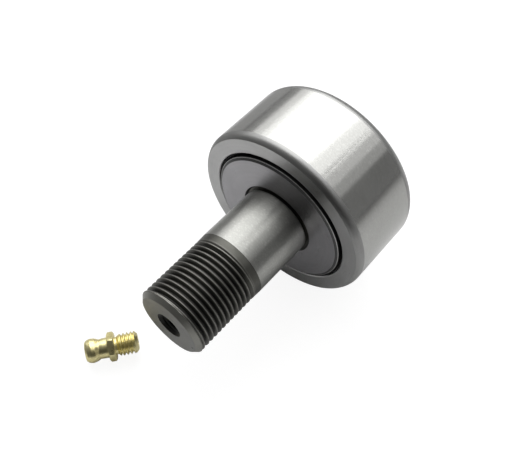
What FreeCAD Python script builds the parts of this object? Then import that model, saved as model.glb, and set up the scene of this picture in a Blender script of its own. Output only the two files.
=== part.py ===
"""Stud-type cam follower, 52 mm, with its loose screw-in grease fitting.

Frame: +Z up, millimetres. The follower's axis is the Y axis. The origin is the
centre of the seating face, where the end plate meets the machine. The stud
points to -Y and the roller lies on the +Y side. The grease fitting lies on the
plane that the roller rests on, below and beside the end of the stud.
"""
import FreeCAD
import Part
import math
import os
from FreeCAD import Matrix, Vector

os.makedirs("parts", exist_ok=True)

# ---------------------------------------------------------------- driving sizes
ROLLER_DIAMETER = 52.0
ROLLER_WIDTH = 24.0
ROLLER_SETBACK = 0.8        # from the seating face to the near face of the ring
ROLLER_FACE_RADIUS = 25.0   # flat of the ring's side face ends here
ROLLER_EDGE_LENGTH = 2.3    # the rounded edge runs this far along the axis
STUD_DIAMETER = 20.0
STUD_LENGTH = 40.5          # from the seating face to the stud's end
THREAD_PITCH = 1.5
THREAD_DIAMETER = 19.8      # crest diameter of the M20 x 1.5 thread, with play
SHANK_END = 18.1            # along the stud: ground shank, plain band, then thread
THREAD_START = 19.8
SHANK_START = 0.4           # the undercut beside the end plate ends here
UNDERCUT_RADIUS = 9.6
SHOULDER_INSET = 0.6        # the undercut runs this far into the plate's bore
THREAD_DEPTH = 0.58         # of either thread, in pitches
THREAD_FADE = 1.6           # run-out of the stud's groove, in pitches
THREAD_OVERRUN = 6.0        # spare length that the thread is cut into, then faced off
END_CHAMFER_RADIUS = 8.7    # the end face of the stud
END_CHAMFER_LENGTH = 1.2

RACEWAY_RADIUS = 14.0       # ground on the stud
NEEDLE_RADIUS = 1.98
NEEDLE_LENGTH = 14.8
NEEDLE_COUNT = 18
NEEDLE_PITCH_RADIUS = 16.0
RING_RACEWAY_RADIUS = 18.0
CAGE_PLAY = 0.7             # between the cage and either raceway
CAGE_INSET = 1.1            # between the end plate and the cage's end

PLATE_RADIUS = 19.86
PLATE_THICKNESS = 3.0
PLATE_SEAT_RADIUS = 10.5    # the plate is pressed on this step of the stud
PLATE_BEVEL_RADIAL = 0.8
PLATE_BEVEL_AXIAL = 0.45
HEAD_FACE = 25.5            # outer face of the stud's head, along +Y
RING_RECESS_RADIUS = 20.66
RING_RECESS_DEPTH = 3.2

HEX_SOCKET_FLATS = 8.0
HEX_SOCKET_DEPTH = 6.5
PORT_DRILL_RADIUS = 2.5     # tap drill of the M6 x 1 grease port
PORT_DEPTH = 10.0
PORT_SINK_RADIUS = 3.7
GREASE_BORE_RADIUS = 2.0
CROSS_HOLE_RADIUS = 1.5

FITTING_LENGTH = 14.0       # M6 x 1 grease fitting, 7 mm hexagon
FITTING_THREAD_DIAMETER = 6.0
FITTING_THREAD_PITCH = 1.0
FITTING_HEX_FLATS = 7.0
FITTING_HEX_START = 6.0
FITTING_HEX_LENGTH = 1.9
BALL_RADIUS = 1.25
FITTING_X = -16.6           # middle of the loose fitting, seen from above
FITTING_Y = -48.3
FITTING_TURN = 53.3         # its axis, in degrees from +X

# ---------------------------------------------------------------- worked out
ROLLER_RADIUS = ROLLER_DIAMETER / 2
STUD_RADIUS = STUD_DIAMETER / 2
THREAD_RADIUS = THREAD_DIAMETER / 2
RING_NEAR = ROLLER_SETBACK
RING_FAR = ROLLER_SETBACK + ROLLER_WIDTH
MID_PLANE = (RING_NEAR + RING_FAR) / 2
HEAD_INNER = 2 * MID_PLANE - PLATE_THICKNESS
FLOOR = -ROLLER_RADIUS
GROOVE_HALF_ANGLE = math.tan(math.radians(30))

Y_AXIS = Vector(0, 1, 0)
Z_AXIS = Vector(0, 0, 1)
ORIGIN = Vector(0, 0, 0)


# ---------------------------------------------------------------- shape helpers
def outline_wire(steps, place):
    """Closed wire through steps; a step is a point, or (mid, end) of an arc."""
    points = [place(*steps[0])]
    edges = []
    for step in steps[1:] + steps[:1]:
        if isinstance(step[0], tuple):
            middle = place(*step[0])
            end = place(*step[1])
            edges.append(Part.Arc(points[-1], middle, end).toShape())
        else:
            end = place(*step)
            edges.append(Part.LineSegment(points[-1], end).toShape())
        points.append(end)
    return Part.Wire(edges)


def turned(steps):
    """Solid turned about Y from an outline of (radius, y) steps."""
    wire = outline_wire(steps, lambda radius, along: Vector(radius, along, 0))
    return Part.Face(wire).revolve(ORIGIN, Y_AXIS, 360)


def turned_about_z(steps):
    """Solid turned about Z from an outline of (radius, z) steps."""
    wire = outline_wire(steps, lambda radius, along: Vector(radius, 0, along))
    return Part.Face(wire).revolve(ORIGIN, Z_AXIS, 360)


def rod(radius, start, end):
    """Cylinder on the Y axis between two places along it."""
    return Part.makeCylinder(radius, end - start, Vector(0, start, 0), Y_AXIS)


def hex_prism(flats, length, base, direction):
    """Hexagonal prism with the given width across flats."""
    corner = flats / math.sqrt(3)
    angles = [math.radians(60 * k + 30) for k in range(6)]
    corners = [Vector(corner * math.cos(a), corner * math.sin(a), 0) for a in angles]
    prism = Part.Face(Part.makePolygon(corners + corners[:1])).extrude(Z_AXIS * length)
    turn = FreeCAD.Rotation(Z_AXIS, direction)
    return baked(prism, FreeCAD.Placement(base, turn).toMatrix())


def baked(shape, matrix):
    """Copy of a shape with a rigid move written into its geometry."""
    moved = shape.copy()
    moved.transformShape(matrix, True)
    return moved


def mirrored_side(shape):
    """The same piece on the head side, turned half round about the mid plane."""
    turn = Matrix()
    turn.move(Vector(0, -MID_PLANE, 0))
    turn.rotateX(math.pi)
    turn.move(Vector(0, MID_PLANE, 0))
    return baked(shape, turn)


def thread_groove(pitch, crest_radius, depth, length):
    """Helical V groove about Z, starting at z = 0 and running to z = length."""
    root_radius = crest_radius - depth
    outside = crest_radius + 0.03
    root_half = pitch / 12
    mouth_half = root_half + (outside - root_radius) * GROOVE_HALF_ANGLE
    section = [
        Vector(root_radius, 0, -root_half),
        Vector(outside, 0, -mouth_half),
        Vector(outside, 0, mouth_half),
        Vector(root_radius, 0, root_half),
    ]
    wire = Part.makePolygon(section + section[:1])
    helix = Part.makeHelix(pitch, length, root_radius)
    return Part.Wire(helix.Edges).makePipeShell([wire], True, True)


# ---------------------------------------------------------------- stud
def stud_blank():
    """The stud turned in one piece, with spare length at its threaded end."""
    end = -STUD_LENGTH - THREAD_OVERRUN
    band_drop = 0.03
    edge = 0.3
    head_bevel = 0.5
    return turned([
        (0, end),
        (THREAD_RADIUS, end),
        (THREAD_RADIUS, -THREAD_START),
        (STUD_RADIUS - band_drop, -SHANK_END - 0.1),
        (STUD_RADIUS, -SHANK_END),
        (STUD_RADIUS, -SHANK_START),
        (UNDERCUT_RADIUS, -SHANK_START / 4),
        (UNDERCUT_RADIUS, SHOULDER_INSET),
        (PLATE_SEAT_RADIUS, SHOULDER_INSET),
        (PLATE_SEAT_RADIUS, PLATE_THICKNESS),
        (RACEWAY_RADIUS - edge, PLATE_THICKNESS),
        (RACEWAY_RADIUS, PLATE_THICKNESS + edge),
        (RACEWAY_RADIUS, HEAD_INNER),
        (PLATE_RADIUS - edge, HEAD_INNER),
        (PLATE_RADIUS, HEAD_INNER + edge),
        (PLATE_RADIUS, HEAD_FACE - head_bevel),
        (PLATE_RADIUS - PLATE_BEVEL_RADIAL, HEAD_FACE),
        (0, HEAD_FACE),
    ])


def stud_thread_tool():
    """Groove of the stud's thread, fading out towards the plain band."""
    depth = THREAD_DEPTH * THREAD_PITCH
    fade_length = THREAD_FADE * THREAD_PITCH
    full = STUD_LENGTH - THREAD_START + THREAD_OVERRUN / 2
    groove = thread_groove(THREAD_PITCH, THREAD_RADIUS, depth, full)
    quarter = Matrix()
    quarter.rotateX(math.pi / 2)
    quarter.move(Vector(0, -THREAD_START, 0))
    groove = baked(groove, quarter)
    root = THREAD_RADIUS - depth
    fade = turned([
        (0, -THREAD_START - fade_length),
        (root - 0.05, -THREAD_START - fade_length),
        (THREAD_RADIUS + 0.2, -THREAD_START),
        (THREAD_RADIUS + 0.2, -THREAD_START + 2 * THREAD_PITCH),
        (0, -THREAD_START + 2 * THREAD_PITCH),
    ])
    return groove.cut(fade)


def stud_envelope():
    """Everything that lies behind the stud's faced and chamfered end."""
    end = -STUD_LENGTH
    wide = END_CHAMFER_RADIUS + 20
    slope = END_CHAMFER_LENGTH / (THREAD_RADIUS - END_CHAMFER_RADIUS)
    return turned([
        (0, end),
        (END_CHAMFER_RADIUS, end),
        (wide, end + (wide - END_CHAMFER_RADIUS) * slope),
        (wide, HEAD_FACE + 5),
        (0, HEAD_FACE + 5),
    ])


def grease_ways():
    """Tapped port, axial bore and cross hole that lead grease to the needles."""
    end = -STUD_LENGTH
    sink_depth = PORT_SINK_RADIUS - PORT_DRILL_RADIUS
    drill_step = 0.4
    drill_point = 1.2
    far_end = MID_PLANE + CROSS_HOLE_RADIUS
    port = turned([
        (0, end - 0.1),
        (PORT_SINK_RADIUS + 0.1, end - 0.1),
        (PORT_DRILL_RADIUS, end + sink_depth),
        (PORT_DRILL_RADIUS, end + PORT_DEPTH),
        (GREASE_BORE_RADIUS, end + PORT_DEPTH + drill_step),
        (GREASE_BORE_RADIUS, far_end),
        (0, far_end + drill_point),
    ])
    cross = Part.makeCylinder(
        CROSS_HOLE_RADIUS, RACEWAY_RADIUS + 1, Vector(0, MID_PLANE, 0), Z_AXIS
    )
    return port.fuse(cross)


def hex_socket():
    """Socket for a hexagon key, with a drilled cone at its floor."""
    prism = hex_prism(
        HEX_SOCKET_FLATS, HEX_SOCKET_DEPTH + 1, Vector(0, HEAD_FACE + 1, 0), -Y_AXIS
    )
    floor = HEAD_FACE - HEX_SOCKET_DEPTH
    drill = HEX_SOCKET_FLATS / 2
    cone = turned([
        (0, floor - drill / 2),
        (drill - 0.05, floor),
        (drill - 0.05, floor + 1),
        (0, floor + 1),
    ])
    mouth = drill / math.cos(math.pi / 6) + 0.15
    sink = turned([
        (0, HEAD_FACE - mouth / 2),
        (mouth, HEAD_FACE + 0.001),
        (0, HEAD_FACE + 0.001),
    ])
    return prism.fuse([cone, sink])


def stud():
    threaded = stud_blank().cut(stud_thread_tool()).common(stud_envelope())
    return threaded.cut([grease_ways(), hex_socket()])


# ---------------------------------------------------------------- roller
def outer_ring():
    """Crowned ring: recess, raceway, recess, and a rounded edge on each side."""
    rise = ROLLER_RADIUS - ROLLER_FACE_RADIUS
    edge_radius = (rise ** 2 + ROLLER_EDGE_LENGTH ** 2) / (2 * rise)
    centre = ROLLER_RADIUS - edge_radius
    half = math.asin(ROLLER_EDGE_LENGTH / edge_radius) / 2
    mid_radius = centre + edge_radius * math.cos(half)
    mid_inset = ROLLER_EDGE_LENGTH - edge_radius * math.sin(half)
    corner = 0.25
    near = RING_NEAR
    far = RING_FAR
    return turned([
        (RING_RACEWAY_RADIUS, near + RING_RECESS_DEPTH),
        (RING_RECESS_RADIUS, near + RING_RECESS_DEPTH),
        (RING_RECESS_RADIUS, near + corner),
        (RING_RECESS_RADIUS + corner, near),
        (ROLLER_FACE_RADIUS, near),
        ((mid_radius, near + mid_inset), (ROLLER_RADIUS, near + ROLLER_EDGE_LENGTH)),
        (ROLLER_RADIUS, far - ROLLER_EDGE_LENGTH),
        ((mid_radius, far - mid_inset), (ROLLER_FACE_RADIUS, far)),
        (RING_RECESS_RADIUS + corner, far),
        (RING_RECESS_RADIUS, far - corner),
        (RING_RECESS_RADIUS, far - RING_RECESS_DEPTH),
        (RING_RACEWAY_RADIUS, far - RING_RECESS_DEPTH),
    ])


def end_plate():
    """Thrust plate pressed on the stud; its outer face is the seating face."""
    relief = 0.4
    back_edge = 0.3
    return turned([
        (PLATE_SEAT_RADIUS, relief),
        (PLATE_SEAT_RADIUS + relief, 0),
        (PLATE_RADIUS - PLATE_BEVEL_RADIAL, 0),
        (PLATE_RADIUS, PLATE_BEVEL_AXIAL),
        (PLATE_RADIUS, PLATE_THICKNESS - back_edge),
        (PLATE_RADIUS - back_edge, PLATE_THICKNESS),
        (PLATE_SEAT_RADIUS, PLATE_THICKNESS),
    ])


def thrust_washer():
    """Polymer washer in the ring's recess, running against the end plate."""
    running_gap = 0.05
    inner_play = 0.3
    outer_play = 0.1
    inner = RACEWAY_RADIUS + inner_play
    outer = RING_RECESS_RADIUS - outer_play
    start = PLATE_THICKNESS + running_gap
    end = RING_NEAR + RING_RECESS_DEPTH
    return turned([(inner, start), (outer, start), (outer, end), (inner, end)])


def seal():
    """Lip seal pressed into the recess, with its lip close to the plate's rim."""
    lip_play = 0.05
    lip = PLATE_RADIUS + lip_play
    wall = RING_RECESS_RADIUS
    waist = (lip + wall) / 2
    front = 1.5
    lip_front = 1.9
    lip_back = 2.2
    heel = 2.5
    back = PLATE_THICKNESS
    return turned([
        (wall, back),
        (waist, back),
        (waist, heel),
        (lip, lip_back),
        (lip, lip_front),
        (waist, front),
        (wall, front + 0.1),
    ])


# ---------------------------------------------------------------- needles
def needle(index):
    """One needle roller at its place on the pitch circle."""
    start = MID_PLANE - NEEDLE_LENGTH / 2
    end = MID_PLANE + NEEDLE_LENGTH / 2
    edge = 0.25
    blank = turned([
        (0, start),
        (NEEDLE_RADIUS - edge, start),
        (NEEDLE_RADIUS, start + edge),
        (NEEDLE_RADIUS, end - edge),
        (NEEDLE_RADIUS - edge, end),
        (0, end),
    ])
    angle = 2 * math.pi * index / NEEDLE_COUNT
    sideways = NEEDLE_PITCH_RADIUS * math.cos(angle)
    upwards = NEEDLE_PITCH_RADIUS * math.sin(angle)
    place = Matrix()
    place.move(Vector(sideways, 0, upwards))
    return baked(blank, place)


def needle_cage():
    """Sleeve with one pocket for each needle."""
    inner = RACEWAY_RADIUS + CAGE_PLAY
    outer = RING_RACEWAY_RADIUS - CAGE_PLAY
    start = PLATE_THICKNESS + CAGE_INSET
    end = 2 * MID_PLANE - start
    sleeve = rod(outer, start, end).cut(rod(inner, start, end))
    pocket_play = 0.2
    width = 2 * NEEDLE_RADIUS + pocket_play
    length = NEEDLE_LENGTH + pocket_play
    depth = outer - inner + 4
    corner = Vector(inner - 2, MID_PLANE - length / 2, -width / 2)
    pockets = []
    for index in range(NEEDLE_COUNT):
        pocket = Part.makeBox(depth, length, width, corner)
        turn = Matrix()
        turn.rotateY(-2 * math.pi * index / NEEDLE_COUNT)
        pockets.append(baked(pocket, turn))
    return sleeve.cut(pockets)


# ---------------------------------------------------------------- grease fitting
def fitting_place():
    """Move from the fitting's own frame (axis Z, nozzle at 0) to where it lies."""
    hex_corner = FITTING_HEX_FLATS / math.sqrt(3)
    turn = math.radians(FITTING_TURN)
    along = Vector(math.cos(turn), math.sin(turn), 0)
    middle = Vector(FITTING_X, FITTING_Y, FLOOR + hex_corner)
    nozzle = middle - along * (FITTING_LENGTH / 2)
    side = Z_AXIS.cross(along)
    spin = FreeCAD.Rotation(side, Z_AXIS, along, "ZXY")
    return FreeCAD.Placement(nozzle, spin).toMatrix()


def fitting_outside():
    """Nozzle, waist and spare thread length, turned, with the hexagon between."""
    hex_end = FITTING_HEX_START + FITTING_HEX_LENGTH
    inside_hex = FITTING_HEX_START + 0.2
    thread = FITTING_THREAD_DIAMETER / 2
    neck = thread - 0.65
    neck_end = hex_end + 0.6
    waist = 2.6
    end = FITTING_LENGTH + THREAD_OVERRUN
    turned_part = turned_about_z([
        (0, 0),
        (2.65, 0),
        ((3.25, 1.7), (2.98, 3.0)),
        ((2.72, 3.8), (waist, 4.8)),
        (waist, inside_hex),
        (neck, inside_hex),
        (neck, neck_end),
        (thread, neck_end + 0.6),
        (thread, end),
        (0, end),
    ])
    hexagon = hex_prism(
        FITTING_HEX_FLATS, FITTING_HEX_LENGTH, Vector(0, 0, FITTING_HEX_START), Z_AXIS
    )
    corner = FITTING_HEX_FLATS / math.sqrt(3)
    flat = FITTING_HEX_FLATS / 2
    chamfer = 0.35
    rounding = turned_about_z([
        (0, FITTING_HEX_START),
        (flat, FITTING_HEX_START),
        (corner, FITTING_HEX_START + chamfer),
        (corner, hex_end - chamfer),
        (flat, hex_end),
        (0, hex_end),
    ])
    return turned_part.fuse(hexagon.common(rounding))


def fitting_envelope():
    """Everything before the fitting's faced and chamfered thread end."""
    chamfer = 0.6
    clear = 4
    thread = FITTING_THREAD_DIAMETER / 2
    return turned_about_z([
        (0, -1),
        (thread + clear, -1),
        (thread + clear, FITTING_LENGTH - chamfer - clear),
        (thread - chamfer, FITTING_LENGTH),
        (0, FITTING_LENGTH),
    ])


def fitting_body():
    """Fitting with its thread cut, its ball seat and its rolled-in end."""
    start = FITTING_HEX_START + FITTING_HEX_LENGTH + 0.9
    length = FITTING_LENGTH - start + THREAD_OVERRUN / 2
    depth = THREAD_DEPTH * FITTING_THREAD_PITCH
    groove = thread_groove(FITTING_THREAD_PITCH, FITTING_THREAD_DIAMETER / 2, depth, length)
    groove.translate(Vector(0, 0, start))
    bore = turned_about_z([
        (0, -0.1),
        (1.0, -0.1),
        (0.8, 0.2),
        (0.8, 0.8),
        (1.5, 1.5),
        (1.5, FITTING_LENGTH - 1.0),
        (1.1, FITTING_LENGTH - 0.7),
        (1.3, FITTING_LENGTH + 0.1),
        (0, FITTING_LENGTH + 0.1),
    ])
    return fitting_outside().cut(groove).common(fitting_envelope()).cut(bore)


def fitting_ball():
    """Check ball, just clear of its 45 degree seat."""
    seat_play = 0.02
    centre = (BALL_RADIUS + seat_play) * math.sqrt(2)
    return Part.makeSphere(BALL_RADIUS, Vector(0, 0, centre))


def fitting_spring():
    """Coil spring between the ball and the rolled-in end."""
    wire_radius = 0.16
    coil_radius = 1.14
    start = 2.66
    end = FITTING_LENGTH - 1.0 - wire_radius - 0.02
    turns = 9
    helix = Part.makeHelix((end - start) / turns, end - start, coil_radius)
    section = Part.makeCircle(wire_radius, Vector(coil_radius, 0, 0), Y_AXIS)
    coil = Part.Wire(helix.Edges).makePipeShell([Part.Wire(section)], True, True)
    coil.translate(Vector(0, 0, start))
    return coil


# ---------------------------------------------------------------- write it out
def pieces():
    """Every piece, by node name."""
    place = fitting_place()
    made = {
        "stud": stud(),
        "outer_ring": outer_ring(),
        "end_plate": end_plate(),
        "needle_cage": needle_cage(),
        "thrust_washer_front": thrust_washer(),
        "thrust_washer_back": mirrored_side(thrust_washer()),
        "seal_front": seal(),
        "seal_back": mirrored_side(seal()),
        "grease_fitting": baked(fitting_body(), place),
        "fitting_ball": baked(fitting_ball(), place),
        "fitting_spring": baked(fitting_spring(), place),
    }
    for index in range(NEEDLE_COUNT):
        made[f"needle_{index + 1:02d}"] = needle(index)
    return made


for name, shape in pieces().items():
    solids = shape.Solids
    if len(solids) != 1 or not shape.isValid():
        raise RuntimeError(f"{name}: {len(solids)} solids, valid {shape.isValid()}")
    solids[0].exportStep(f"parts/{name}.step")
    print(f"{name}: {solids[0].Volume:.1f} cubic mm")
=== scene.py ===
# %% [markdown]
# # A stud-type cam follower, drawn around its CAD frame
# A cam follower is a needle roller bearing whose inner ring is a threaded stud.
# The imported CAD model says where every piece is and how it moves. This script
# loads it, then makes each visible surface again as a smooth one, with the
# thread forms, edge breaks and steel finishes that the real object has.

import math

import bmesh
import bpy
import numpy as np
from mathutils import Matrix, Vector


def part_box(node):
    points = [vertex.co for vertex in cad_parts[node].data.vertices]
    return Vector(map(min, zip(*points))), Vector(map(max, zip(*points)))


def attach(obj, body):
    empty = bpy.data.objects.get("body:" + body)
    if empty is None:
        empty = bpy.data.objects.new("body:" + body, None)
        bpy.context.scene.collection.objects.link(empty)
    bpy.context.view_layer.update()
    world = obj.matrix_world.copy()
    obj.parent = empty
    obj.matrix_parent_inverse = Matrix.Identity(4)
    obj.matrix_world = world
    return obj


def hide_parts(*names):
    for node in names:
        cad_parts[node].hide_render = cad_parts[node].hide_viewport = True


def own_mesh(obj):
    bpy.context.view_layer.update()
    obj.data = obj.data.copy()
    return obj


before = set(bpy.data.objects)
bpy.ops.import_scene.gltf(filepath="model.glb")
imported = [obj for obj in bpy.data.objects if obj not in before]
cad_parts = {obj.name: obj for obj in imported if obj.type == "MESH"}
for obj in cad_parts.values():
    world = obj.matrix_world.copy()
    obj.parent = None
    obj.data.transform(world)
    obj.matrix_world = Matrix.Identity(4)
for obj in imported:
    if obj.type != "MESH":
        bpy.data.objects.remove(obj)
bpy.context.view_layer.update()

# %% [markdown]
# ## Where the viewer stands
# The object is small, so the viewer stands close: about 19 cm away, with the
# perspective of a 50 mm lens on a 36 mm wide sensor, above the stud and to its
# right. A camera could be placed by its coordinates and turned by hand. Azimuth,
# elevation, distance and the point aimed at say the same in a way that is easy
# to change.

# %% Camera
MM = 0.001


def spherical(azimuth, elevation):
    """Unit vector towards a viewer; azimuth 0 stands at -Y and looks along +Y."""
    a, e = math.radians(azimuth), math.radians(elevation)
    return Vector((math.sin(a) * math.cos(e), -math.cos(a) * math.cos(e), math.sin(e)))


VIEW_DISTANCE = 188.4
aim = Vector((-3.03, -4.03, -0.78)) * MM
towards_viewer = spherical(40.15, 55.35)
camera = bpy.data.objects.new("camera", bpy.data.cameras.new("camera"))
camera.data.lens = 50.0
camera.data.sensor_width = 36.0
camera.data.clip_start = 0.01
camera.location = aim + towards_viewer * VIEW_DISTANCE * MM
camera.rotation_euler = towards_viewer.to_track_quat("Z", "Y").to_euler()
bpy.context.scene.collection.objects.link(camera)
bpy.context.scene.camera = camera
print("camera at", [round(v / MM, 1) for v in camera.location], "mm")

# %% [markdown]
# ## Floor and light
# The object stands on a plain white sheet. Bright steel shows its surroundings
# more than itself, so the light is chosen for what the roller's running surface
# should mirror. Long soft panels stand round its axis like the staves of a
# barrel. Those overhead and to the left make the broad white band, a narrow one
# makes the fine line beside it, and the dim ones on the right keep that side
# grey. One big light would be simpler, but a cylinder would show it as a single
# flat stripe. All the panels lean towards the back, where the running surface
# mirrors them, and the near side face, which looks the other way, doesn't.

# %% Softboxes and sheet
scene = bpy.context.scene
scene.view_settings.view_transform = "Standard"
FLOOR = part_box("outer_ring")[0].z


def link_object(name, data):
    """New object at the origin, linked to the scene."""
    thing = bpy.data.objects.new(name, data)
    scene.collection.objects.link(thing)
    return thing


def softbox(name, direction, along, distance, width, height, radiance):
    """Rectangular area light that faces the object, with its width along a vector.

    Its power is its radiance times its area times pi.
    """
    lamp = bpy.data.lights.new(name, "AREA")
    lamp.shape = "RECTANGLE"
    lamp.size = width
    lamp.size_y = height
    lamp.energy = radiance * width * height * math.pi
    outward = Vector(direction).normalized()
    upward = outward.cross(Vector(along)).normalized()
    sideways = upward.cross(outward)
    turned = Matrix((sideways, upward, outward)).transposed().to_4x4()
    link_object(name, lamp).matrix_world = Matrix.Translation(outward * distance) @ turned


# From, to (degrees about the axis, from +X towards +Z) and radiance of each panel.
PANELS = (
    (34, 48, 0.35), (48, 60, 0.7), (61, 63.5, 2.0), (66, 88, 1.65),
    (88, 142, 2.25), (142, 153, 1.7), (153, 166, 0.95),
)
PANEL_DISTANCE = 0.75
PANEL_LENGTH = 0.84
LEAN = 0.48
upright = math.sqrt(1 - LEAN ** 2)
# A panel that leans stands nearer to the axis than to the middle of the object.
FROM_AXIS = 0.88 * PANEL_DISTANCE
for start, end, radiance in PANELS:
    middle = math.radians((start + end) / 2)
    softbox(
        f"panel_{start}", (upright * math.cos(middle), LEAN, upright * math.sin(middle)),
        (-math.sin(middle), 0, math.cos(middle)), PANEL_DISTANCE,
        2 * FROM_AXIS * math.tan(math.radians(end - start) / 2), PANEL_LENGTH, radiance,
    )
print("panels:", len(PANELS))

SHEET_HALF = 2.0
sheet = link_object("sheet", bpy.data.meshes.new("sheet"))
sheet.data.from_pydata(
    [(x * SHEET_HALF, y * SHEET_HALF, FLOOR) for x, y in ((-1, -1), (1, -1), (1, 1), (-1, 1))],
    [], [(0, 1, 2, 3)],
)

# %% [markdown]
# ## Building node materials
# Every finish below is made of the same few things: coordinates in millimetres,
# stretched noise for the marks a tool leaves, thresholds for scuffs, and blends
# of colours. The nodes could be placed by hand in the editor. `Finish` keeps the
# node tree and adds one node per call, so that each material reads as the recipe
# of its surface.

# %% Node tree helper
RANGE_SOCKETS = ("From Min", "From Max", "To Min", "To Max")


class Finish:
    """A Principled material with short calls for the nodes that feed it."""

    def __init__(self, name, colour, metallic, roughness):
        self.material = bpy.data.materials.new(name)
        self.material.use_nodes = True
        self.tree = self.material.node_tree
        self.shader = self.tree.nodes["Principled BSDF"]
        self.shader.inputs["Base Color"].default_value = (*colour, 1)
        self.shader.inputs["Metallic"].default_value = metallic
        self.shader.inputs["Roughness"].default_value = roughness
        where = self.node("ShaderNodeTexCoord").outputs["Object"]
        self.mm = self.vector("MULTIPLY", where, (1 / MM,) * 3)
        self.axes = self.node("ShaderNodeSeparateXYZ", Vector=self.mm).outputs

    def node(self, kind, settings=None, **inputs):
        """Add a node; inputs are sockets to link, or constants."""
        made = self.tree.nodes.new(kind)
        for key, value in (settings or {}).items():
            setattr(made, key, value)
        for key, value in inputs.items():
            self.plug(made.inputs[key.replace("_", " ")], value)
        return made

    def plug(self, socket, value):
        """Link a socket to an input, or set the input to a constant."""
        if isinstance(value, bpy.types.NodeSocket):
            self.tree.links.new(value, socket)
        else:
            socket.default_value = value

    def vector(self, operation, a, b):
        """One vector operation on two values."""
        made = self.node("ShaderNodeVectorMath", {"operation": operation})
        self.plug(made.inputs[0], a)
        self.plug(made.inputs[1], b)
        return made.outputs["Vector"]

    def math(self, operation, a, b):
        """One scalar operation on two values."""
        made = self.node("ShaderNodeMath", {"operation": operation})
        self.plug(made.inputs[0], a)
        self.plug(made.inputs[1], b)
        return made.outputs[0]

    def noise(self, scale, detail=3.0, place=None, distortion=0.0):
        """Noise of about 0.5 mean; scale is features per millimetre on each axis."""
        place = self.vector("MULTIPLY", place or self.mm, scale)
        made = self.node("ShaderNodeTexNoise", None, Vector=place, Scale=1.0, Detail=detail,
                         Distortion=distortion)
        return made.outputs["Fac"]

    def span(self, value, low, high, to_low=0.0, to_high=1.0):
        """Move a range of values to another, clamped at its ends."""
        made = self.node("ShaderNodeMapRange")
        inputs = made.inputs
        for key, number in zip(RANGE_SOCKETS, (low, high, to_low, to_high)):
            inputs[key].default_value = number
        self.plug(inputs["Value"], value)
        return made.outputs["Result"]

    def mix(self, share, a, b):
        """Blend two colours by a share from 0 to 1."""
        made = self.node("ShaderNodeMix", {"data_type": "RGBA"})
        self.plug(made.inputs[0], share)
        for socket, value in ((made.inputs[6], a), (made.inputs[7], b)):
            self.plug(socket, value if isinstance(value, bpy.types.NodeSocket) else (*value, 1))
        return made.outputs[2]

    def radius(self, centre=(0, 0, 0)):
        """Distance in millimetres from the Y axis, or from a line beside it."""
        flat = self.vector("SUBTRACT", self.vector("MULTIPLY", self.mm, (1, 0, 1)), centre)
        made = self.node("ShaderNodeVectorMath", {"operation": "LENGTH"})
        self.plug(made.inputs[0], flat)
        return made.outputs["Value"]

    def ring_marks(self, fineness, breakup):
        """Noise along the radius: the rings that a lathe leaves on a side face."""
        rings = self.math("MULTIPLY", self.radius(), fineness)
        place = self.node("ShaderNodeCombineXYZ", None, X=rings)
        drift = self.vector("MULTIPLY", self.mm, (breakup,) * 3)
        return self.noise((1, 1, 1), 3.0, self.vector("ADD", place.outputs[0], drift))

    def bump(self, height, depth_mm):
        """Use a height from 0 to 1 as relief of the given depth."""
        made = self.node("ShaderNodeBump", None, Height=height, Strength=1.0, Distance=depth_mm * MM)
        self.plug(self.shader.inputs["Normal"], made.outputs["Normal"])

    def colour(self, value):
        """Use a value as the surface's colour."""
        self.plug(self.shader.inputs["Base Color"], value)

    def rough(self, value):
        """Use a value as the surface's roughness."""
        self.plug(self.shader.inputs["Roughness"], value)

    def marked(self, marks, dark, light, smooth, dull, depth_mm):
        """Let one set of marks drive colour, roughness and relief."""
        self.colour(self.mix(marks, dark, light))
        self.rough(self.span(marks, 0.3, 0.7, smooth, dull))
        self.bump(marks, depth_mm)


# %% [markdown]
# ## The white sheet
# Plain paper: matt and nearly white. A plain white plane would nearly do, but
# two things are added. Seen directly, some light of its own lifts it to clean
# white. Seen in the steel, its colour is painted darker far out to the left and
# right: painted shade, as the light falls off on a small lit table in a dark
# room, and this draws the dark bands that give the steel its shape.

# %% Sheet material
paper = Finish("white_sheet", (0.9, 0.9, 0.9), 0.0, 0.95)
paper.shader.inputs["Specular IOR Level"].default_value = 0.1
paper_tone = paper.mix(paper.noise((0.02,) * 3), (0.80, 0.80, 0.80), (0.84, 0.84, 0.84))
on_camera = paper.node("ShaderNodeLightPath").outputs["Is Camera Ray"]
# Painted shade: for rays other than the camera's, the sheet's colour goes near black far out to the left
# and right.
painted_shade_left = paper.span(paper.axes[0], -85, -52, 0.50, 0.0)
painted_shade_right = paper.span(paper.axes[0], 110, 400, 0.0, 0.45)
not_on_camera = paper.math("SUBTRACT", 1.0, on_camera)
painted_far_shade = paper.math("MULTIPLY", paper.math("ADD", painted_shade_left, painted_shade_right), not_on_camera)
paper.colour(paper.mix(painted_far_shade, paper_tone, (0.02, 0.02, 0.02)))
lifted = paper.node("ShaderNodeEmission", None, Color=(1, 1, 1, 1), Strength=1.25)
lift = paper.node("ShaderNodeMixShader")
paper.plug(lift.inputs[0], paper.math("MULTIPLY", on_camera, 0.72))
paper.plug(lift.inputs[1], paper.shader.outputs[0])
paper.plug(lift.inputs[2], lifted.outputs[0])
paper.plug(paper.tree.nodes["Material Output"].inputs["Surface"], lift.outputs[0])
sheet.data.materials.append(paper.material)
print("sheet:", 2 * SHEET_HALF, "m wide, finish", paper.material.name)

# %% [markdown]
# ## The room
# Where there is no panel, the steel mirrors a dim room. A single grey would be
# enough for fill light. Here it is brighter on the left than on the right, and
# darker towards -Y, which the near side face mirrors. Seen directly, beyond the
# edge of the sheet, it is pale like the sheet.

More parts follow.
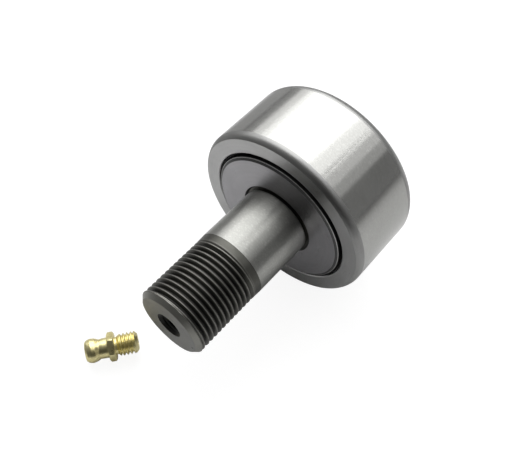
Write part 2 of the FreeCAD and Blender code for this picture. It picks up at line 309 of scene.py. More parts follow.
# %% Room
world = bpy.data.worlds.new("room")
world.use_nodes = True
scene.world = world
room = world.node_tree
room_light = room.nodes["Background"]
room_light.inputs["Color"].default_value = (1, 1, 1, 1)
room_way = room.nodes.new("ShaderNodeTexCoord")
room_split = room.nodes.new("ShaderNodeSeparateXYZ")
room.links.new(room_way.outputs["Generated"], room_split.inputs[0])


def room_range(axis, start, end, at_start, at_end):
    """Brightness that changes smoothly along one axis of the room."""
    ramp = room.nodes.new("ShaderNodeMapRange")
    ramp.interpolation_type = "SMOOTHSTEP"
    for key, number in zip(RANGE_SOCKETS, (start, end, at_start, at_end)):
        ramp.inputs[key].default_value = number
    room.links.new(room_split.outputs[axis], ramp.inputs["Value"])
    return ramp.outputs["Result"]


room_sum = room.nodes.new("ShaderNodeMath")
room.links.new(room_range("X", -0.9, 0.7, 0.45, 0.27), room_sum.inputs[0])
room.links.new(room_range("Y", -0.4, 0.2, -0.24, 0.0), room_sum.inputs[1])
room_seen = room.nodes.new("ShaderNodeMix")
room_rays = room.nodes.new("ShaderNodeLightPath")
room.links.new(room_rays.outputs["Is Camera Ray"], room_seen.inputs["Factor"])
room.links.new(room_sum.outputs[0], room_seen.inputs["A"])
room_seen.inputs["B"].default_value = 0.9
room.links.new(room_seen.outputs["Result"], room_light.inputs["Strength"])
print("room:", world.name, "with", len(room.nodes), "nodes")

# %% [markdown]
# ## Finishes of the steel pieces
# The running surface is ground: very fine lines round the circumference, which
# stretch highlights along the axis. The side faces are turned and then tumbled,
# so they are duller and carry faint rings. The shank is ground too, but handled,
# so it has scuffs. The thread and the plain band are blackened, a thin warm dark
# oxide that wears off the crests first, with painted shade that darkens it towards
# the thread's roots, and the stud's end is a worn grey with one small dark spot.
# An image could carry such marks, but it would need unwrapped surfaces. Noise that
# is stretched round the axis follows the tool instead.

# %% Ground steel


def scaled(colour, factor):
    """A colour made lighter or darker."""
    return tuple(c * factor for c in colour)


def ground_steel(name, colour, roughness, line_depth, scuffs, spread=0.3):
    """Lines round the Y axis, patchy gloss, and scattered scuffs.

    The lines spread a highlight along the axis more than round it.
    """
    steel = Finish(name, colour, 1.0, roughness)
    fine = steel.noise((0.05, 14.0, 0.05), 2.0)
    broad = steel.noise((0.12, 1.8, 0.12), 3.0)
    patches = steel.noise((0.09, 0.09, 0.09), 4.0)
    marks = steel.noise((1.1, 2.6, 1.1), 6.0, distortion=1.2)
    marks = steel.span(marks, 0.64, 0.72)
    marks = steel.math("MULTIPLY", marks, steel.span(patches, 0.45, 0.62, 0.0, scuffs))
    gloss = steel.math("ADD", steel.math("MULTIPLY", fine, 0.10), roughness - 0.05)
    gloss = steel.math("ADD", gloss, steel.span(patches, 0.3, 0.7, -0.03, 0.04))
    steel.rough(steel.math("ADD", gloss, steel.math("MULTIPLY", marks, 0.18)))
    shade = steel.math("ADD", steel.span(broad, 0.3, 0.7, 0.0, 0.4),
                       steel.span(patches, 0.3, 0.7, 0.0, 0.6))
    tone = steel.mix(shade, scaled(colour, 0.93), scaled(colour, 1.05))
    flecks = steel.noise((1.6, 2.6, 1.6), 6.0, distortion=0.8)
    flecks = steel.span(flecks, 0.5, 0.75, 0.0, scuffs * 0.8)
    tone = steel.mix(flecks, tone, scaled(colour, 1.35))
    steel.colour(steel.mix(marks, tone, scaled(colour, 0.72)))
    steel.bump(steel.math("ADD", fine, steel.math("MULTIPLY", marks, 0.6)), line_depth)
    steel.shader.inputs["Anisotropic"].default_value = spread
    steel.shader.inputs["Anisotropic Rotation"].default_value = 0.25
    around = steel.node("ShaderNodeTangent", {"direction_type": "RADIAL", "axis": "Y"})
    steel.plug(steel.shader.inputs["Tangent"], around.outputs["Tangent"])
    return steel.material


# %% Turned steel


def turned_steel(name, colour, roughness, ring_depth, dark_spot=None):
    """Rings about the Y axis on a side face, with a fine satin grain.

    A dark spot is drawn near black, in the colour only, at a place (x, z) in millimetres.
    """
    steel = Finish(name, colour, 1.0, roughness)
    rings = steel.ring_marks(7.0, 0.10)
    wide_rings = steel.ring_marks(1.3, 0.05)
    grain = steel.noise((9.0, 9.0, 9.0), 3.0)
    patches = steel.noise((0.16, 0.16, 0.16), 5.0)
    gloss = steel.math("ADD", steel.span(grain, 0.3, 0.7, roughness - 0.05, roughness + 0.06),
                       steel.span(patches, 0.35, 0.65, -0.03, 0.03))
    steel.rough(steel.math("ADD", gloss, steel.span(rings, 0.35, 0.65, -0.03, 0.03)))
    tone = steel.mix(steel.span(wide_rings, 0.35, 0.65), scaled(colour, 0.94), colour)
    dirt = steel.math("MULTIPLY", steel.span(patches, 0.5, 0.72), steel.span(grain, 0.4, 0.6))
    tone = steel.mix(dirt, tone, scaled(colour, 0.85))
    if dark_spot:
        away = steel.radius((dark_spot[0], 0, dark_spot[1]))
        tone = steel.mix(steel.span(away, 0.15, 0.40, 0.8, 0.0), tone, (0.02, 0.02, 0.02))
    steel.colour(tone)
    steel.bump(steel.math("ADD", rings, steel.math("MULTIPLY", grain, 0.7)), ring_depth)
    return steel.material


# %% Black oxide
# Places along the stud, in millimetres: the thread and its end's chamfer lie beyond them.
THREAD_FROM = -19.9
CHAMFER_FROM = -39.3


def black_oxide(name, crest_radius):
    """Warm black coating that wears to steel on the thread's crests and the end's chamfer, with painted
    shade towards the thread's roots.
    """
    oxide = Finish(name, (0.05, 0.05, 0.045), 1.0, 0.42)
    along = oxide.axes[1]
    grain = oxide.noise((5.0, 5.0, 5.0), 4.0)
    patches = oxide.noise((0.3, 0.3, 0.3), 4.0)
    radius = oxide.radius()
    near_crest = oxide.span(radius, crest_radius - 0.12, crest_radius - 0.02)
    on_thread = oxide.span(along, THREAD_FROM - 0.7, THREAD_FROM, 1.0, 0.0)
    wear = oxide.math("MULTIPLY", near_crest, oxide.span(grain, 0.35, 0.6, 0.35, 1.0))
    wear = oxide.math("MULTIPLY", wear, on_thread)
    tone = oxide.mix(oxide.span(patches, 0.35, 0.65), (0.10, 0.099, 0.089), (0.125, 0.124, 0.112))
    # Painted shade: towards the roots of the grooves the colour goes near black.
    painted_root_shade = oxide.span(radius, crest_radius - 0.75, crest_radius - 0.15, 0.72, 0.0)
    painted_root_shade = oxide.math("MULTIPLY", painted_root_shade, oxide.span(along, CHAMFER_FROM - 0.3, CHAMFER_FROM + 0.1))
    tone = oxide.mix(painted_root_shade, tone, (0.012, 0.012, 0.011))
    on_chamfer = oxide.span(along, CHAMFER_FROM - 0.15, CHAMFER_FROM + 0.05, 1.0, 0.0)
    tone = oxide.mix(on_chamfer, tone, (0.30, 0.297, 0.272))
    oxide.colour(oxide.mix(wear, tone, (0.29, 0.286, 0.265)))
    oxide.rough(oxide.span(grain, 0.3, 0.7, 0.34, 0.48))
    oxide.bump(grain, 0.006)
    return oxide.material


# %% The steels of this object
running_steel = ground_steel("ground_running_surface", (0.42, 0.42, 0.405), 0.17, 0.003, 0.5)
shank_steel = ground_steel("ground_shank", (0.37, 0.371, 0.352), 0.31, 0.003, 1.0, 0.75)
raceway_steel = ground_steel("honed_raceway", (0.55, 0.55, 0.545), 0.14, 0.0004, 0.2)
edge_steel = turned_steel("turned_edge", (0.33, 0.33, 0.324), 0.36, 0.003)
face_steel = turned_steel("turned_side_face", (0.50, 0.50, 0.497), 0.34, 0.004)
plate_steel = turned_steel("satin_plate", (0.40, 0.394, 0.409), 0.32, 0.003)
# Painted shade: dark steel on the plate's bevel, rim and relief chamfer, for the gap round the plate.
painted_shade_rim_steel = turned_steel("bevelled_rim_painted_shade", (0.09, 0.09, 0.09), 0.42, 0.002)
# Painted highlight: light steel for the thin glint on the plate's outer corner.
painted_glint_steel = turned_steel("painted_edge_glint", (0.50, 0.50, 0.49), 0.30, 0.002)
oxide_steel = black_oxide("black_oxide", 9.9)
# Painted shade: near black steel inside the plate's bore and the stud's bore, port and socket.
painted_shade_bore_steel = turned_steel("drilled_steel_painted_shade", (0.03, 0.03, 0.028), 0.5, 0.004)
tip_steel = turned_steel("faced_stud_end", (0.28, 0.279, 0.267), 0.50, 0.005, (7.5, -2.2))
print("materials so far:", len(bpy.data.materials))

# %% [markdown]
# ## Surfaces of revolution, and threads that are almost one
# Everything here came off a lathe. A piece is a grid of points: the column says
# the angle about the axis, the row says the place on the outline. A thread is
# the same grid whose rows lean: a row that starts at one place on the axis is
# one pitch further on after a full turn, and its radius dips where the phase of
# the helix is near the middle of the groove. Spin and Screw modifiers could turn
# the outlines, but then the thread would have to be joined to its shank.

# %% Outlines


def rounded(corners, steps=4, support=0.12):
    """Points of an outline whose corners, (radius, along, rounding), are arcs.

    The arc touches both sides of the corner. Its centre lies on the corner's
    bisector, and its points turn evenly about the centre from one touching
    point to the other. One more point on each side keeps flat faces flat when
    the surface is shaded smooth.
    """
    corners = np.array(corners, float)
    points, wanted = corners[:, :2], corners[:, 2]
    before = np.roll(points, 1, 0) - points
    after = np.roll(points, -1, 0) - points
    before_length = np.maximum(np.linalg.norm(before, axis=1), 1e-9)
    after_length = np.maximum(np.linalg.norm(after, axis=1), 1e-9)
    before /= before_length[:, None]
    after /= after_length[:, None]
    half = np.arccos(np.clip((before * after).sum(1), -1, 1)) / 2
    half = np.clip(half, 0.02, math.pi / 2 - 1e-4)
    most = 0.45 * np.minimum(before_length, after_length)
    reach = np.minimum(wanted / np.tan(half), most)
    radius = reach * np.tan(half)
    bisector = before + after
    bisector /= np.maximum(np.linalg.norm(bisector, axis=1), 1e-9)[:, None]
    centre = points + bisector * (radius / np.sin(half))[:, None]
    start = points + before * reach[:, None] - centre
    end = points + after * reach[:, None] - centre
    sweep = (math.pi - 2 * half)[:, None, None]
    share = np.linspace(0, 1, steps)[None, :, None]
    arc = np.sin((1 - share) * sweep) * start[:, None] + np.sin(share * sweep) * end[:, None]
    arc = arc / np.sin(sweep) + centre[:, None]
    extra = np.where(wanted > 0, np.minimum(support, most - reach), 0)[:, None]
    lead_in = points + before * (reach[:, None] + extra)
    lead_out = points + after * (reach[:, None] + extra)
    outline = np.concatenate([lead_in[:, None], arc, lead_out[:, None]], 1).reshape(-1, 2)
    keep = np.r_[True, np.linalg.norm(np.diff(outline, axis=0), axis=1) > 1e-5]
    return outline[keep]


def closed(outline):
    """The outline with its first point again at the end."""
    return np.concatenate([outline, outline[:1]])


def between(values):
    """Mean of each row and the next: what lies on the strip of faces between them."""
    return (values + np.roll(values, -1, 0)) / 2


# %% From a grid of points to a piece


def full_turn(columns):
    """Angles of the grid's columns; the last is a full turn after the first."""
    return np.linspace(0, 2 * math.pi, columns + 1)[None, :]


def grid_piece(name, points, materials, row_material, body, nodes, place=None):
    """Closed mesh from points[row, column], joined up, facing outwards and shaded.

    Columns meet at the full turn and rows meet at the poles or at the end of a
    closed outline, so coincident points are merged. The sign of the enclosed
    volume, one sixth of the sum of a . (b x c) over its triangles, says whether
    the faces must be turned round.
    """
    rows, columns = points.shape[:2]
    flat = points.reshape(-1, 3)
    index = np.arange(rows * columns).reshape(rows, columns)
    quads = np.stack([index[:-1, :-1], index[:-1, 1:], index[1:, 1:], index[1:, :-1]], -1)
    row_of_quad = np.repeat(np.arange(rows - 1), columns - 1)
    quads = quads.reshape(-1, 4)
    a, b, c, d = (flat[quads[:, k]] for k in range(4))
    volume = (a * np.cross(b, c)).sum() + (a * np.cross(c, d)).sum()
    if volume < 0:
        quads = quads[:, ::-1]
    if place is not None:
        flat = flat @ np.array(place)[:3, :3].T + np.array(place)[:3, 3]
    mesh = bpy.data.meshes.new(name)
    mesh.from_pydata((flat * MM).tolist(), [], quads.tolist())
    for material in materials:
        mesh.materials.append(material)
    faces = np.asarray(row_material)[row_of_quad].astype(np.int32)
    mesh.polygons.foreach_set("material_index", faces)
    work = bmesh.new()
    work.from_mesh(mesh)
    bmesh.ops.remove_doubles(work, verts=work.verts, dist=2e-7)
    open_edges = sum(len(edge.link_faces) != 2 for edge in work.edges)
    work.to_mesh(mesh)
    work.free()
    mesh.polygons.foreach_set("use_smooth", np.ones(len(mesh.polygons), bool))
    mesh.set_sharp_from_angle(angle=math.radians(32))
    piece = link_object(name, mesh)
    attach(piece, body)
    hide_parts(*nodes)
    print(f"{name}: {len(mesh.polygons)} faces, {open_edges} open edges, {abs(volume) / 6:.0f} cubic mm")
    return piece


def about_y(radius, along, angle):
    """Points at a radius and a place along the Y axis, at angles from +X to +Z."""
    radius, along, angle = np.broadcast_arrays(radius, along, angle)
    return np.stack([radius * np.cos(angle), along, radius * np.sin(angle)], -1)


def lathe(outline, columns):
    """Grid of a turned piece: an outline of (radius, along) carried once round the Y axis."""
    return about_y(outline[:, :1], outline[:, 1:], full_turn(columns))


def about_z(radius, along, angle):
    """Points at a radius and a place along the Z axis, at angles from +X to +Y."""
    radius, along, angle = np.broadcast_arrays(radius, along, angle)
    return np.stack([radius * np.cos(angle), radius * np.sin(angle), along], -1)


def turned_rows(outline, angle):
    """Radius and place of each grid point of a plain turned outline."""
    shape = (len(outline), angle.shape[1])
    return np.broadcast_to(outline[:, :1], shape), np.broadcast_to(outline[:, 1:], shape)


# %% Threads


def soft_step(x, softness):
    """0 below 0, x between, 1 above 1, with its two bends rounded off."""
    return (np.sqrt(x ** 2 + softness ** 2) - np.sqrt((x - 1) ** 2 + softness ** 2) + 1) / 2


def groove(along, angle, pitch, depth):
    """How deep a 60 degree groove is at each point, from 0 at the crest to depth.

    The phase is the distance along the axis in pitches less the angle in turns.
    Its distance from the nearest whole number, times the pitch, is the distance
    from the middle of the groove, which has a flat root and sloping flanks.
    """
    phase = along / pitch - angle / (2 * math.pi)
    off_centre = np.abs(phase - np.round(phase)) * pitch
    root_half = pitch / 12
    flank = depth * math.tan(math.radians(30))
    return depth * soft_step((root_half + flank - off_centre) / flank, 0.10)


def leaning_rows(start, end, pitch, rows_per_pitch, angle):
    """Places along the axis for rows that follow a helix, cut off at both ends."""
    turns = angle / (2 * math.pi)
    count = math.ceil(((end - start) / pitch + 1) * rows_per_pitch)
    first = np.arange(count + 1)[:, None] / rows_per_pitch - 1
    return np.clip(start + pitch * (first + turns), start, end)


# %% [markdown]
# ## The outer ring
# The part that rolls on the cam: 52 mm across and 24 mm wide, with a rounded
# edge so that it tolerates a little tilt, a recess on each side for the seal
# and the thrust washer, and a raceway for the needles inside. It could be a tube
# with its edges bevelled, but every edge here has a radius of its own. One closed
# outline turned about the axis gives each of them its size.

# %% Outer ring
ring_low, ring_high = (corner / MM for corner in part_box("outer_ring"))
RING_RADIUS = ring_high.z
RING_NEAR, RING_FAR = ring_low.y, ring_high.y
MID_PLANE = (RING_NEAR + RING_FAR) / 2
RACEWAY = 18.0
RACE_CHAMFER = 0.3
RECESS = 20.66
RECESS_DEPTH = 3.2
RECESS_CHAMFER = 0.25
FACE_EDGE = 25.0
EDGE_LENGTH = 2.3


def other_side(outline):
    """The same outline on the other side of the mid plane."""
    return np.stack([outline[:, 0], 2 * MID_PLANE - outline[:, 1]], 1)


def edge_arc(steps):
    """Rounded edge as (inset from the face, radius): an arc that meets the cylinder smoothly."""
    rise = RING_RADIUS - FACE_EDGE
    arc_radius = (rise ** 2 + EDGE_LENGTH ** 2) / (2 * rise)
    turn = np.linspace(math.asin(EDGE_LENGTH / arc_radius), 0, steps)
    return EDGE_LENGTH - arc_radius * np.sin(turn), RING_RADIUS - arc_radius * (1 - np.cos(turn))


inset, edge_radius = edge_arc(14)
near_edge = np.stack([edge_radius, RING_NEAR + inset], 1)
far_edge = other_side(near_edge)[::-1]
near_floor = RING_NEAR + RECESS_DEPTH
far_floor = RING_FAR - RECESS_DEPTH
near_recess = rounded([
    (RACEWAY + RACE_CHAMFER, near_floor, 0), (RECESS, near_floor, 0.2),
    (RECESS, RING_NEAR + RECESS_CHAMFER, 0.1), (RECESS + RECESS_CHAMFER, RING_NEAR, 0.1),
    (FACE_EDGE - 0.02, RING_NEAR, 0),
])
near_recess = np.insert(near_recess, len(near_recess) - 1, (FACE_EDGE - 0.15, RING_NEAR), 0)
far_recess = other_side(near_recess)[::-1]
race = rounded([
    (RACEWAY + RACE_CHAMFER, far_floor, 0), (RACEWAY, far_floor - RACE_CHAMFER, 0.1),
    (RACEWAY, near_floor + RACE_CHAMFER, 0.1), (RACEWAY + RACE_CHAMFER, near_floor, 0),
])
parts = [near_recess, near_edge, far_edge, far_recess, race]
finish = np.repeat([1, 2, 2, 1, 3], [len(part) for part in parts])
# The strip from one rounded edge to the other is the running surface.
finish[len(near_recess) + len(near_edge) - 1] = 0
grid_piece(
    "ring_surface", lathe(np.concatenate(parts), 288),
    [running_steel, face_steel, edge_steel, raceway_steel], finish,
    "roller", ["outer_ring"],
)

# %% [markdown]
# ## The end plate
# A hardened washer pressed on the stud. Its outer face is what the machine
# clamps against, so it stands a little proud of the ring. It has a bevel at its
# rim, and a relief round the stud that shows as a dark crescent, from the gap and
# from painted shade. It is turned like the ring. Each strip of its grid gets a
# finish by where the strip lies, with no extra pieces: painted shade on the
# relief's chamfer, the bevel, the rim and the back, a painted glint on the outer
# corner, and near black painted shade in the bore.

# %% End plate
PLATE = 19.86
PLATE_THICKNESS = 3.0
PLATE_SEAT = 10.5
RELIEF = 0.4
BEVEL_WIDTH, BEVEL_DEPTH = 0.8, 0.45
BACK_CHAMFER = 0.3
plate_outline = closed(rounded([
    (PLATE_SEAT, PLATE_THICKNESS, 0.05), (PLATE_SEAT, RELIEF, 0.05), (PLATE_SEAT + RELIEF, 0, 0.08),
    (PLATE - BEVEL_WIDTH, 0, 0.06), (PLATE, BEVEL_DEPTH, 0.08),
    (PLATE, PLATE_THICKNESS - BACK_CHAMFER, 0.05), (PLATE - BACK_CHAMFER, PLATE_THICKNESS, 0.05),
]))
strip_radius, strip_along = between(plate_outline).T
# Strips off the outer face get painted shade, the bore near black painted shade, and the outer corner a
# painted glint.
plate_finish = np.where(strip_along < 0.01, 0, 1)
plate_finish = np.where(strip_radius < PLATE_SEAT + 0.05, 2, plate_finish)
painted_glint_corner = (strip_radius > PLATE - 0.10) & (strip_along < BEVEL_DEPTH + 0.05)
plate_finish = np.where(painted_glint_corner, 3, plate_finish)
grid_piece(
    "end_plate_surface", lathe(plate_outline, 240),
    [plate_steel, painted_shade_rim_steel, painted_shade_bore_steel, painted_glint_steel], plate_finish,
    "stud", ["end_plate"],
)

# %% [markdown]
# ## The stud
# One turned part from end to end: the tapped grease port, the end face, the
# blackened thread and plain band, the ground shank, the step that carries the
# end plate, the inner raceway, and the head with its hexagon socket. Port, socket
# and threads could be cut out of a turned bar with booleans, which leave ragged
# faces on such fine threads. So all of it is one grid, which starts at the bottom
# of the grease bore and ends at the bottom of the socket.

# %% Measures of the stud
STUD_RADIUS = 10.0
STUD_LENGTH = -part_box("stud")[0].y / MM
HEAD_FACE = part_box("stud")[1].y / MM
THREAD = dict(crest=9.9, pitch=1.5, depth=0.58 * 1.5, start=19.8)
PORT = dict(minor=2.5, pitch=1.0, depth=0.55, start=31.0, sink=3.7)
END_RADIUS = 8.7
END_CHAMFER = 1.2
GREASE_BORE = 2.0
BAND_END = 18.1
UNDERCUT = 9.6
INNER_RACE = 14.0
HEAD_BACK = 22.6
SOCKET_HALF = 4.0
SOCKET_DEPTH = 6.5


def from_flat(angle):
    """Angle from the middle of the nearest flat of a hexagon."""
    return (angle + math.pi / 6) % (math.pi / 3) - math.pi / 6


def thread_radius(along, angle):
    """Radius of the stud's thread: crest less groove, fading in, cut by the end's chamfer."""
    crest, pitch, depth, start = (THREAD[key] for key in ("crest", "pitch", "depth", "start"))
    run_out = np.clip((STUD_LENGTH - END_CHAMFER - along) / 0.5, 0, 1)
    radius = crest - groove(along - start, angle, pitch, depth) * run_out
    fade = crest + 0.2 - (along - start) / (1.6 * pitch) * (depth + 0.25)
    radius = np.minimum(crest, np.maximum(radius, fade))
    cone = END_RADIUS + (STUD_LENGTH - along) * (crest - END_RADIUS) / END_CHAMFER
    return np.minimum(radius, cone)


def port_radius(along, angle):
    """Radius of the tapped port: drill size plus groove, opened by the countersink."""
    fade = np.clip((along - PORT["start"]) / PORT["pitch"], 0, 1)
    radius = PORT["minor"] + fade * groove(along, angle, PORT["pitch"], PORT["depth"])
    return np.maximum(radius, PORT["sink"] - (STUD_LENGTH - along))


# %% Stud
angle = full_turn(180)
hex_radius = SOCKET_HALF / np.cos(from_flat(angle))
sink = SOCKET_HALF / math.cos(math.pi / 6) + 0.15
# Radius and depth of the socket's rows: countersink, hexagon, and a drill's cone at its bottom.
socket_radius = np.concatenate([np.broadcast_to(r, angle.shape) for r in (
    sink, hex_radius, hex_radius, hex_radius, hex_radius, SOCKET_HALF - 0.05, 0.0)])
socket_depth = np.concatenate([np.broadcast_to(d, angle.shape) for d in (
    0.0, (sink - hex_radius) / 2, 1.0, SOCKET_DEPTH - 0.1, SOCKET_DEPTH, SOCKET_DEPTH, SOCKET_DEPTH + 2.0)])
bore = rounded([
    (0, 15.5, 0), (GREASE_BORE, 14.3, 0.1), (GREASE_BORE, -30.1, 0.1),
    (PORT["minor"], -30.5, 0.1), (PORT["minor"], -PORT["start"], 0),
])
port_along = leaning_rows(PORT["start"], STUD_LENGTH, PORT["pitch"], 9, angle)
end_face = rounded([
    (PORT["sink"], -STUD_LENGTH, 0), (PORT["sink"] + 0.08, -STUD_LENGTH, 0),
    (END_RADIUS - 0.12, -STUD_LENGTH, 0), (END_RADIUS, -STUD_LENGTH, 0),
])
thread_along = leaning_rows(THREAD["start"], STUD_LENGTH, THREAD["pitch"], 18, angle)[::-1]
shank = rounded([
    (THREAD["crest"], -THREAD["start"], 0), (STUD_RADIUS - 0.03, -BAND_END - 0.1, 0.05),
    (STUD_RADIUS, -BAND_END, 0.05), (STUD_RADIUS, -0.4, 0.05),
    (UNDERCUT, -0.1, 0.1), (UNDERCUT, 0.6, 0.05), (PLATE_SEAT, 0.6, 0.05),
    (PLATE_SEAT, PLATE_THICKNESS, 0.05), (INNER_RACE - 0.3, PLATE_THICKNESS, 0.05),
    (INNER_RACE, PLATE_THICKNESS + 0.3, 0.1), (INNER_RACE, HEAD_BACK, 0.1),
    (PLATE - BACK_CHAMFER, HEAD_BACK, 0.05), (PLATE, HEAD_BACK + BACK_CHAMFER, 0.05), (PLATE, 25.0, 0.15),
    (PLATE - BEVEL_WIDTH, HEAD_FACE, 0.15), (sink, HEAD_FACE, 0),
], steps=3)
# The bore, the port and the socket get near black painted shade.
sections = [
    (turned_rows(bore, angle), 3),
    ((port_radius(port_along, angle), -port_along), 3),
    (turned_rows(end_face, angle), 5),
    ((thread_radius(thread_along, angle), -thread_along), 2),
    (turned_rows(shank, angle), 0),
    ((socket_radius, HEAD_FACE - socket_depth), 3),
]
radius = np.concatenate([rows[0] for rows, _ in sections])
along = np.concatenate([rows[1] for rows, _ in sections])
finish = np.repeat([material for _, material in sections], [len(rows[0]) for rows, _ in sections])
# The shank's rows go on past it: black band, shank, undercut and step in the black oxide as painted shade
# in the gap under the end plate, raceway, head.
strip_along = between(along.mean(1))
bands = np.array([2, 0, 2, 4, 1])[np.searchsorted([-BAND_END, -0.39, 2.9, HEAD_BACK - 0.01], strip_along)]
finish = np.where(finish == 0, bands, finish)
grid_piece(
    "stud_surface", about_y(radius, along, angle),
    [shank_steel, face_steel, oxide_steel, painted_shade_bore_steel, raceway_steel, tip_steel], finish,
    "stud", ["stud"],
)

# %% [markdown]
# ## Seals and thrust washers
# Between the end plate and the ring's recess sits a black lip seal, and behind
# it a polymer washer that takes side thrust. Seen from outside they are only
# the dark gap round the plate, and that gap is a strong line in the look. They
# could stay plain CAD solids. Turned again, their lips and edges are smooth, and
# those on the head side are the same outlines mirrored.

# %% Seal and washer materials
rubber = Finish("seal_rubber", (0.012, 0.012, 0.012), 0.0, 0.6)
rubber.marked(rubber.noise((6.0, 6.0, 6.0), 4.0),
              (0.007, 0.007, 0.007), (0.018, 0.018, 0.017), 0.5, 0.72, 0.01)

polymer = Finish("washer_polymer", (0.05, 0.05, 0.05), 0.0, 0.4)
polymer.marked(polymer.ring_marks(4.0, 0.2), (0.035, 0.035, 0.036), (0.07, 0.07, 0.07), 0.32, 0.5, 0.01)

# %% Seals and washers
lip = PLATE + 0.05
waist = (lip + RECESS) / 2
seal_outline = closed(rounded([
    (RECESS, PLATE_THICKNESS, 0.05), (waist, PLATE_THICKNESS, 0.05), (waist, 2.5, 0.08), (lip, 2.2, 0.04),
    (lip, 1.9, 0.04), (waist, 1.5, 0.1), (RECESS, 1.6, 0.05),
], support=0.04))
WASHER_INNER, WASHER_OUTER = 14.3, RECESS - 0.1
WASHER_NEAR, WASHER_FAR = PLATE_THICKNESS + 0.05, 4.0
washer_outline = closed(rounded([
    (WASHER_INNER, WASHER_NEAR, 0.1), (WASHER_OUTER, WASHER_NEAR, 0.1),
    (WASHER_OUTER, WASHER_FAR, 0.1), (WASHER_INNER, WASHER_FAR, 0.1),
]))
for side, flip in (("front", False), ("back", True)):
    for kind, outline, finish, slot in (
        ("seal", seal_outline, rubber, "seal_rubber"),
        ("thrust_washer", washer_outline, polymer, "washer_polymer"),
    ):
        outline = other_side(outline) if flip else outline
        grid_piece(
            f"{kind}_{side}_surface", lathe(outline, 180), [finish.material], np.zeros(len(outline)),
            "roller", [f"{kind}_{side}"],
        )

# %% [markdown]
# ## Needles
# Eighteen superfinished rollers, each with slightly rounded ends. They are all
# the same piece at another place on the pitch circle. Instances of one mesh would
# be lighter, but each needle turns on a body of its own, and its place is in its
# mesh, so each gets a mesh with few faces.

# %% Needles
needle_finish = Finish("needle_steel", (0.62, 0.62, 0.62), 1.0, 0.1)
needle_finish.marked(needle_finish.noise((3.0, 12.0, 3.0), 3.0),
                     (0.58, 0.58, 0.58), (0.66, 0.66, 0.65), 0.07, 0.16, 0.0005)
NEEDLES = 18
NEEDLE_RADIUS = 1.98
NEEDLE_HALF = 7.4
PITCH_RADIUS = (RACEWAY + INNER_RACE) / 2
needle_outline = rounded([
    (0, -NEEDLE_HALF, 0), (NEEDLE_RADIUS, -NEEDLE_HALF, 0.25),
    (NEEDLE_RADIUS, NEEDLE_HALF, 0.25), (0, NEEDLE_HALF, 0),
], steps=5)
for index in range(NEEDLES):
    turn = 2 * math.pi * index / NEEDLES
    centre = np.array([PITCH_RADIUS * math.cos(turn), MID_PLANE, PITCH_RADIUS * math.sin(turn)])
    name = f"needle_{index + 1:02d}"
    grid_piece(
        f"{name}_surface", lathe(needle_outline, 36) + centre,
        [needle_finish.material], np.zeros(len(needle_outline)), name, [name],
    )

# %% [markdown]
# ## The grease fitting
# A small brass-coloured nipple with a nozzle for the grease gun, a 7 mm hexagon
# and an M6 thread, lying on its side. Its hexagon could be a prism trimmed by a
# cone. In a grid, that is the smaller of two radii, the flat's and the cone's. It
# has its own axis, so the grid is made about Z and then moved to where it lies.

# %% Measures and place of the fitting
FITTING_LENGTH = 14.0
NOSE_RADIUS = 2.2
NOSE_START = 13.2
FITTING_THREAD = dict(crest=3.0, pitch=1.0, depth=0.58, start=8.8)
FLAT_HALF = 3.5
NECK = 2.35
heading = math.radians(53.3)
forward = Vector((math.cos(heading), math.sin(heading), 0))
hex_corner = 2 * FLAT_HALF / math.sqrt(3)
nozzle = Vector((-16.6, -48.3, FLOOR / MM + hex_corner)) - forward * FITTING_LENGTH / 2
lying = Matrix.Translation(nozzle) @ Matrix((
    (-forward.y, 0, forward.x, 0), (forward.x, 0, forward.y, 0), (0, 1, 0, 0), (0, 0, 0, 1),
))

# %% Brass
brass = Finish("fitting_brass", (0.80, 0.66, 0.34), 1.0, 0.25)
brass_patches = brass.noise((0.35, 0.35, 0.35), 4.0)
brass_grain = brass.noise((7.0, 7.0, 7.0), 3.0)
brass.colour(brass.mix(brass.span(brass_patches, 0.35, 0.65), (0.78, 0.68, 0.32), (0.94, 0.86, 0.48)))
brass.rough(brass.math("ADD", brass.span(brass_grain, 0.3, 0.7, 0.26, 0.36),
                       brass.span(brass_patches, 0.3, 0.7, -0.02, 0.05)))
brass.bump(brass_grain, 0.004)

# %% Grease fitting


def fitting_thread_radius(along, angle):
    """Radius of the fitting's thread, with its chamfered end."""
    crest, pitch, depth, start = (FITTING_THREAD[key] for key in ("crest", "pitch", "depth", "start"))
    grown = np.clip((along - start) / 0.5, 0, 1) * np.clip((NOSE_START + 0.1 - along) / 0.5, 0, 1)
    radius = crest - groove(along - start, angle, pitch, depth) * grown
    cone = NOSE_RADIUS + (FITTING_LENGTH - along) * (crest - NOSE_RADIUS) / (FITTING_LENGTH - NOSE_START)
    lead = NECK + (along - 8.5)
    return np.minimum(np.minimum(radius, cone), lead)


angle = full_turn(144)
flat_radius = np.minimum(FLAT_HALF / np.cos(from_flat(angle)), hex_corner - 0.05)
HEX_START, HEX_END, HEX_CHAMFER = 6.0, 7.9, 0.35
chamfer_at = np.linspace(0, HEX_CHAMFER, 6)
hex_along = np.r_[HEX_START + chamfer_at, HEX_END - chamfer_at[::-1]][:, None]
from_end = np.minimum(hex_along - HEX_START, HEX_END - hex_along)
hex_cone = FLAT_HALF + from_end * (hex_corner - FLAT_HALF) / HEX_CHAMFER
hex_rows_radius = np.minimum(flat_radius, hex_cone)
FITTING_BORE = 1.5
front = rounded([
    (FITTING_BORE, 1.5, 0.1), (0.8, 0.8, 0.05), (0.8, 0.2, 0.05), (1.0, 0, 0.1),
    (2.55, 0, 0.25), (3.05, 0.6, 0.5), (3.3, 1.6, 0.9), (3.1, 2.7, 0.7), (2.62, 3.7, 0.4),
    (2.7, 4.6, 0.5), (2.75, HEX_START, 0.1), (FLAT_HALF, HEX_START, 0),
])
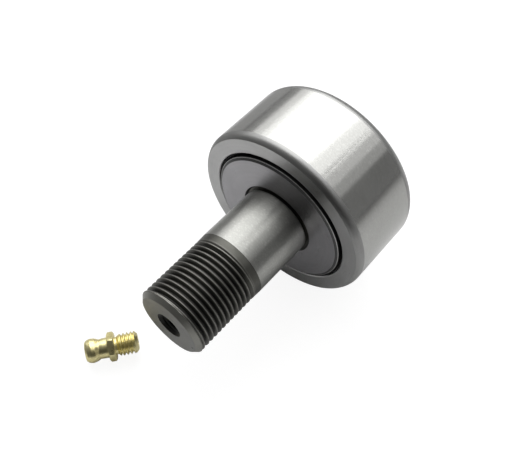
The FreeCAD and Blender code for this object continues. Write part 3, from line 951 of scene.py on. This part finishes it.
# The outline is open, so the point that leads in to its first corner is left out.
front = front[1:]
neck = rounded([
    (FLAT_HALF, HEX_END, 0), (NECK, HEX_END, 0.1), (NECK, 8.5, 0.1), (2.65, FITTING_THREAD["start"], 0),
])
thread_rows = leaning_rows(FITTING_THREAD["start"], FITTING_LENGTH, FITTING_THREAD["pitch"], 14, angle)
back = rounded([
    (NOSE_RADIUS, FITTING_LENGTH, 0), (1.3, FITTING_LENGTH, 0.1), (1.1, FITTING_LENGTH - 0.7, 0.1),
    (FITTING_BORE, FITTING_LENGTH - 1.0, 0.1), (FITTING_BORE, 1.5, 0),
])
sections = [
    turned_rows(front, angle), (hex_rows_radius, np.broadcast_to(hex_along, hex_rows_radius.shape)),
    turned_rows(neck, angle), (fitting_thread_radius(thread_rows, angle), thread_rows),
    turned_rows(back, angle), turned_rows(front[:1], angle),
]
radius = np.concatenate([rows[0] for rows in sections])
along = np.concatenate([rows[1] for rows in sections])
grid_piece(
    "grease_fitting_surface", about_z(radius, along, angle), [brass.material],
    np.zeros(len(radius)), "grease_fitting", ["grease_fitting"], lying,
)

# %% [markdown]
# ## Check ball, its spring, and the needle cage
# The ball closes the fitting's nozzle and the spring behind it holds it there.
# A curve with a round bevel could make the spring. Its wire is a circle carried
# along a helix on a grid instead, which closes its two ends. The cage is a sleeve
# with a pocket for each needle. It keeps its CAD shape and gets its own finish.

# %% Ball
ball_steel = Finish("ball_steel", (0.7, 0.7, 0.7), 1.0, 0.08)
ball_steel.marked(ball_steel.noise((5.0, 5.0, 5.0), 4.0),
                  (0.62, 0.62, 0.62), (0.74, 0.74, 0.74), 0.05, 0.12, 0.0005)
polar = np.linspace(0, math.pi, 33)[:, None]
BALL_RADIUS = 1.25
BALL_CLEARANCE = 0.02
ball_centre = (BALL_RADIUS + BALL_CLEARANCE) * math.sqrt(2)
grid_piece(
    "check_ball_surface",
    about_z(BALL_RADIUS * np.sin(polar), ball_centre - BALL_RADIUS * np.cos(polar), full_turn(64)),
    [ball_steel.material], np.zeros(len(polar)), "fitting_ball", ["fitting_ball"], lying,
)

# %% Spring
spring_steel = Finish("spring_wire", (0.45, 0.45, 0.44), 1.0, 0.3)
spring_steel.marked(spring_steel.noise((4.0, 4.0, 4.0), 4.0),
                    (0.36, 0.36, 0.35), (0.52, 0.52, 0.51), 0.24, 0.38, 0.002)
COIL_RADIUS, WIRE_RADIUS, COIL_TURNS = 1.14, 0.16, 9
SPRING_START, SPRING_END = 2.66, 12.82
share = np.linspace(0, 1, COIL_TURNS * 28 + 1)[:, None]
coil_angle = share * COIL_TURNS * 2 * math.pi
wire_angle = full_turn(14)
wire = np.full_like(share, WIRE_RADIUS)
wire[[0, -1]] = 0
spring_radius = COIL_RADIUS + wire * np.cos(wire_angle)
spring_along = SPRING_START + share * (SPRING_END - SPRING_START) + wire * np.sin(wire_angle)
spring = grid_piece(
    "spring_coil", about_z(spring_radius, spring_along, coil_angle),
    [spring_steel.material], np.zeros(len(share)), "grease_fitting",
    ["fitting_spring"], lying,
)
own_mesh(spring)

# %% Cage
cage_steel = Finish("cage_sheet", (0.45, 0.44, 0.42), 1.0, 0.32)
cage_steel.marked(cage_steel.noise((0.4, 2.5, 0.4), 4.0),
                  (0.38, 0.37, 0.35), (0.52, 0.51, 0.49), 0.26, 0.4, 0.004)
cage_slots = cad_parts["needle_cage"].data.materials
cage_slots.clear()
cage_slots.append(cage_steel.material)
print("cage finish:", cage_slots[0].name)
